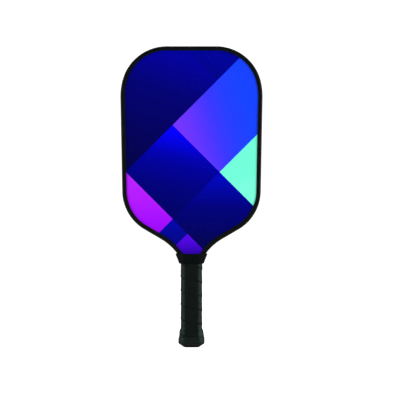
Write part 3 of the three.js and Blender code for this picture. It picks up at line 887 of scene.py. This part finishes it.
# Natural rubber, moulded black: dull and soft, with a faint grey bloom.
rubber, tree, place = begin("black_rubber_moulded")
bloom = add(tree, "TexNoise", {"Vector": place, "Scale": 1 / COLLAR_CLOUD, "Detail": 5}).outputs[0]
skin = add(tree, "TexNoise", {"Vector": place, "Scale": 1 / COLLAR_SKIN, "Detail": 2}).outputs[0]
tones = {0: bloom, 6: linear(COLLAR_BLACK), 7: linear(COLLAR_BLOOM)}
tone = add(tree, "Mix", tones, data_type="RGBA").outputs[2]
bump = add(tree, "Bump", {"Height": skin, "Distance": COLLAR_RELIEF, "Strength": 0.4}).outputs[0]
matte = {"Value": bloom, "From Min": 0.3, "From Max": 0.7, "To Min": 0.5, "To Max": 0.65}
roughness = add(tree, "MapRange", matte).outputs[0]
inputs = {"Base Color": tone, "Normal": bump, "Roughness": roughness, "IOR": 1.52}
surface = add(tree, "BsdfPrincipled", {**inputs, "Specular IOR Level": 0.03})
add(tree, "OutputMaterial", {"Surface": surface.outputs[0]})
close(collar, rubber, "collar", "collar")


# ---------------------------------------------------------------- The floor, lights and camera
# The paddle stands on its butt on a white paper sweep that curves up behind it, in a dark room. Soft
# boxes light it from the sides, from above and from behind, so that no glare lies on its flat faces.
# The paper and the room glow white for the camera alone.

FLOOR_WIDTH = 8.0
FLOOR_FRONT = -0.85  # just out of view: a nearer sheet would veil the print
FLOOR_BACK = 4.0
SWEEP_HEIGHT = 1.1
SWEEP_BEND = 0.8
PAPER = "#D2D2D2"
PAPER_FIBRE = "#CDCDCD"
PAPER_MOTTLE = 25 * MM
PAPER_GLOW = 0.95  # for the camera alone, so that the paper lends the print no haze
WHITE = "#FFFFFF"
ROOM_GREY = 0.03  # what the gloss sees of the room
CAMERA_DISTANCE = 2.4
VIEW_WIDTH = 0.5624  # what the camera takes in, at the paddle
VIEW_X = 0.0223  # the middle of the view
VIEW_Z = 0.1878
SENSOR = 36.0
AIM = Vector((0, 0, 0.25))  # what the lamps are turned to

# Each lamp: its azimuth in degrees, 0 in front of the paddle and 90 to its right, its height and
# distance, the width and height of its face, and its watts.
LAMPS = {
    "soft_box_left": (-56, 0.6, 2.2, (1.6, 0.8), 33),
    "soft_box_right": (56, 0.6, 2.2, (1.6, 0.8), 32),
    "side_panel_left": (-95, 0.5, 1.8, (1.0, 1.8), 13),
    "side_panel_right": (95, 0.5, 1.8, (1.0, 1.8), 21),
    "soft_box_top": (20, 2.4, 0.8, (1.6, 1.0), 16),
    "back_fill_left": (-118, 0.5, 2.2, (1.6, 0.8), 4),
    "back_fill_right": (118, 0.5, 2.2, (1.6, 0.8), 4),
    "back_top": (180, 2.1, 1.7, (2.6, 1.6), 46),
}

bpy.ops.object.select_all(action="DESELECT")
ground = cad_low[2]
middle = (0, (FLOOR_FRONT + FLOOR_BACK) / 2, ground)
extent = (FLOOR_WIDTH, FLOOR_BACK - FLOOR_FRONT, 1)
bpy.ops.mesh.primitive_plane_add(size=1, location=middle)
bpy.ops.transform.resize(value=extent)
floor = start("paper_sweep")
pick(floor, "EDGE", lambda co: co.y > FLOOR_BACK - TINY)
sweep((0, 0, SWEEP_HEIGHT))
pick(floor, "EDGE", lambda co: co.y > FLOOR_BACK - TINY and co.z < ground + TINY)
bpy.ops.mesh.bevel(offset=SWEEP_BEND, segments=24)
bpy.ops.object.mode_set(mode="OBJECT")
bpy.ops.object.shade_smooth()

# White background paper: flat and matte, with a barely visible mottle.
paper, tree, place = begin("background_paper_matte")
fibre = add(tree, "TexNoise", {"Vector": place, "Scale": 1 / PAPER_MOTTLE, "Detail": 2}).outputs[0]
tones = {0: fibre, 6: linear(PAPER_FIBRE), 7: linear(PAPER)}
tone = add(tree, "Mix", tones, data_type="RGBA").outputs[2]
seen = add(tree, "LightPath").outputs["Is Camera Ray"]
strength = add(tree, "MapRange", {"Value": seen, "To Max": PAPER_GLOW}).outputs[0]
glow = {"Emission Color": linear(WHITE), "Emission Strength": strength}
inputs = {"Base Color": tone, "Roughness": 0.95, "Specular IOR Level": 0.0}
surface = add(tree, "BsdfPrincipled", {**inputs, **glow})
add(tree, "OutputMaterial", {"Surface": surface.outputs[0]})
floor.data.materials.append(paper)

for name, (azimuth, height, distance, size, power) in LAMPS.items():
    light = bpy.data.lights.new(name, "AREA")
    light.shape = "RECTANGLE"
    light.size, light.size_y = size
    light.energy = power
    lamp = bpy.data.objects.new(name, light)
    bpy.context.collection.objects.link(lamp)
    lamp.visible_camera = False
    turn = radians(azimuth)
    lamp.location = (distance * sin(turn), -distance * cos(turn), height)
    lamp.rotation_euler = (AIM - lamp.location).to_track_quat("-Z", "Y").to_euler()

world = bpy.data.worlds.new("dark_room_white_behind")
bpy.context.scene.world = world
world.use_nodes = True
tree = world.node_tree
tree.nodes.clear()
seen = add(tree, "LightPath").outputs["Is Camera Ray"]
level = {"Value": seen, "To Min": ROOM_GREY, "To Max": 1.0}
strength = add(tree, "MapRange", level).outputs[0]
room = add(tree, "Background", {"Color": linear(WHITE), "Strength": strength})
add(tree, "OutputWorld", {"Surface": room.outputs[0]})

lens = bpy.data.cameras.new("camera")
lens.sensor_width = SENSOR
lens.lens = SENSOR * CAMERA_DISTANCE / VIEW_WIDTH
camera = bpy.data.objects.new("camera", lens)
bpy.context.collection.objects.link(camera)
camera.location = (VIEW_X, -CAMERA_DISTANCE, VIEW_Z)
camera.rotation_euler = (pi / 2, 0, 0)
bpy.context.scene.camera = camera
bpy.context.scene.view_settings.view_transform = "Standard"
